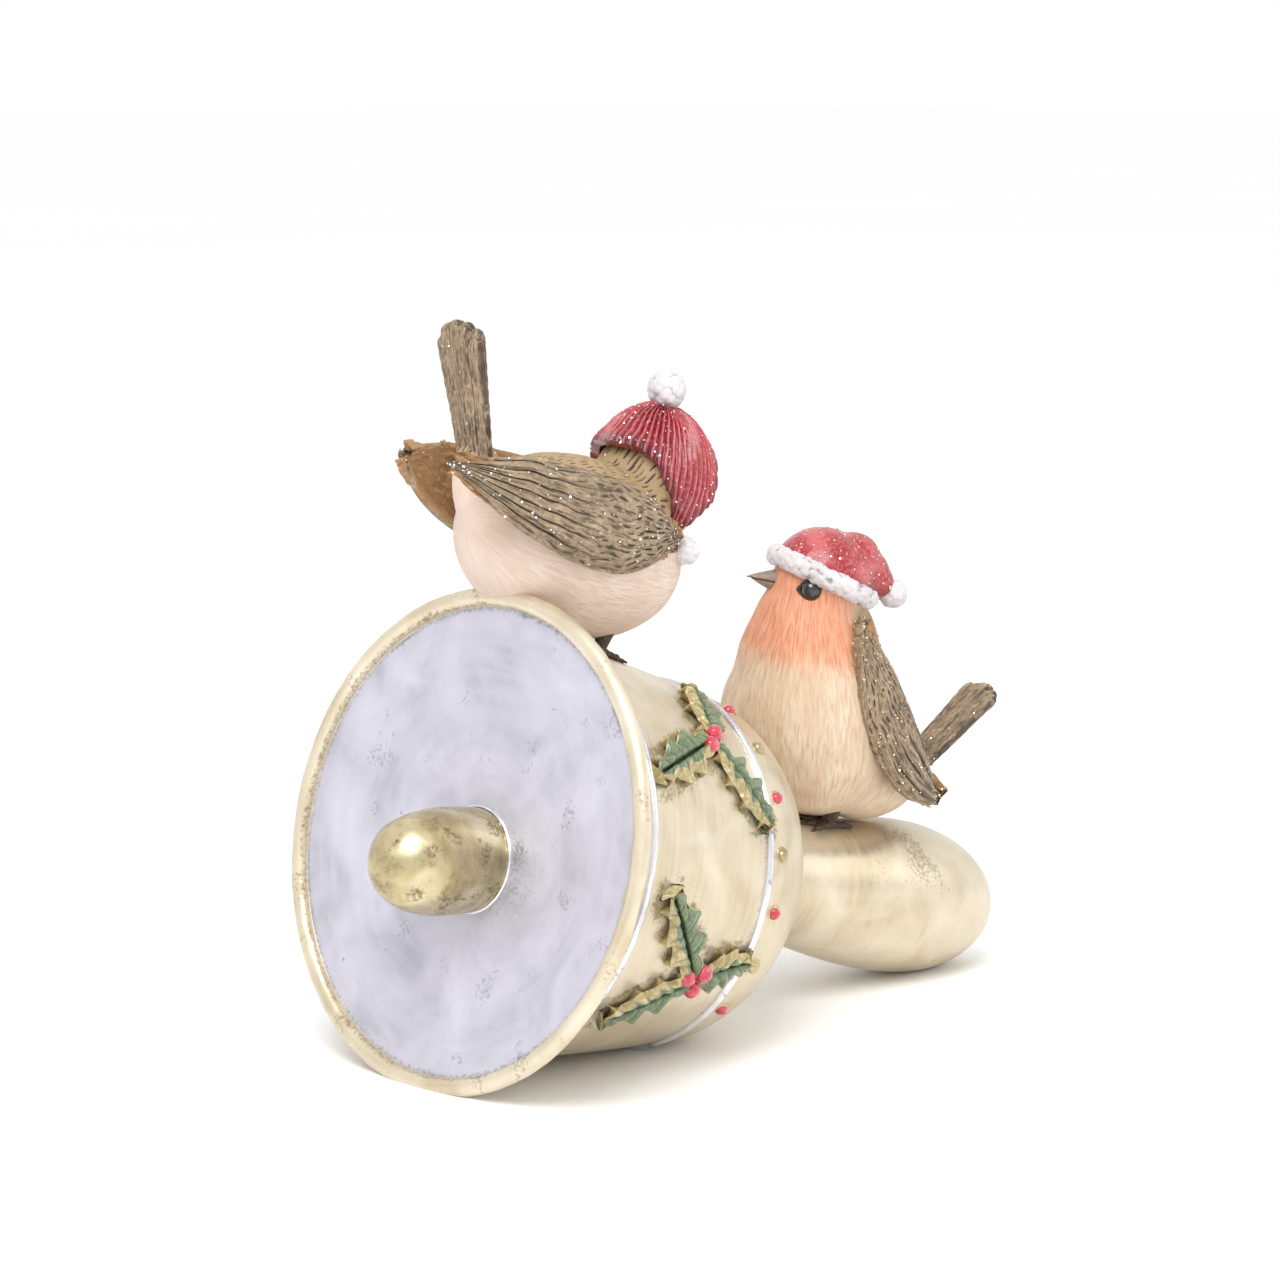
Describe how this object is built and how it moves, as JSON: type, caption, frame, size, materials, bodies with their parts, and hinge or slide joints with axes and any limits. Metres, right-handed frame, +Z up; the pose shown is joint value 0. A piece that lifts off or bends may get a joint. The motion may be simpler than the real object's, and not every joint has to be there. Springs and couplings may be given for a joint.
{
  "type": "christmas bell ornament",
  "caption": "Hand bell lying on its side with a fixed clapper, holly sprigs, a bead ring and robins in knitted hats.",
  "frame": {"origin": "on the ground, under the middle of the length and width of the ornament as it lies", "axes": "+X along the ground from the mouth to the handle, +Y across to the bell's left side, +Z up"},
  "size_m": [0.1546, 0.088, 0.1295],
  "materials": {
    "gold_paint": "cast resin in satin champagne gold paint",
    "silver_wash": "cast resin in brushed silver-lilac paint",
    "antique_gold": "cast resin in mottled antique gold paint",
    "steel_pin": "plain drawn wire",
    "silver_line": "raised line in silver paint",
    "red_enamel": "glossy red paint",
    "holly_green": "painted green with gold edges and glitter",
    "belly_cream": "matt cream paint",
    "breast_orange": "matt orange paint fading to cream",
    "feather_brown": "matt brown paint with glitter",
    "beak_grey": "grey-brown paint",
    "eye_black": "gloss black",
    "leg_brown": "dark brown paint",
    "hat_red": "matt red paint with glitter",
    "snow_white": "rough white paint with glitter"
  },
  "bodies": {
    "root": {"bell_body": "gold_paint", "mouth_dish": "silver_wash", "clapper": "antique_gold", "clapper_pin": "steel_pin", "handle": "gold_paint", "handle_dowel": "steel_pin", "mouth_band": "silver_line", "shoulder_band": "silver_line", "red_beads": "red_enamel", "gold_beads": "antique_gold", "front_upper_holly": "holly_green", "front_lower_holly": "holly_green", "rear_upper_holly": "holly_green", "rear_lower_holly": "holly_green", "front_upper_berries": "red_enamel", "front_lower_berries": "red_enamel", "rear_upper_berries": "red_enamel", "rear_lower_berries": "red_enamel", "rim_robin_body": "belly_cream", "rim_robin_left_wing": "feather_brown", "rim_robin_right_wing": "feather_brown", "rim_robin_tail": "feather_brown", "rim_robin_beak": "beak_grey", "rim_robin_left_eye": "eye_black", "rim_robin_right_eye": "eye_black", "rim_robin_left_leg": "leg_brown", "rim_robin_right_leg": "leg_brown", "rim_robin_left_foot": "leg_brown", "rim_robin_right_foot": "leg_brown", "rim_robin_hat": "hat_red", "rim_robin_pompom": "snow_white", "rim_robin_left_flap_pompom": "snow_white", "rim_robin_right_flap_pompom": "snow_white", "handle_robin_body": "breast_orange", "handle_robin_left_wing": "feather_brown", "handle_robin_right_wing": "feather_brown", "handle_robin_tail": "feather_brown", "handle_robin_beak": "beak_grey", "handle_robin_left_eye": "eye_black", "handle_robin_right_eye": "eye_black", "handle_robin_left_leg": "leg_brown", "handle_robin_right_leg": "leg_brown", "handle_robin_left_foot": "leg_brown", "handle_robin_right_foot": "leg_brown", "handle_robin_hat": "hat_red", "handle_robin_hat_trim": "snow_white", "handle_robin_pompom": "snow_white"}
  },
  "joints": []
}
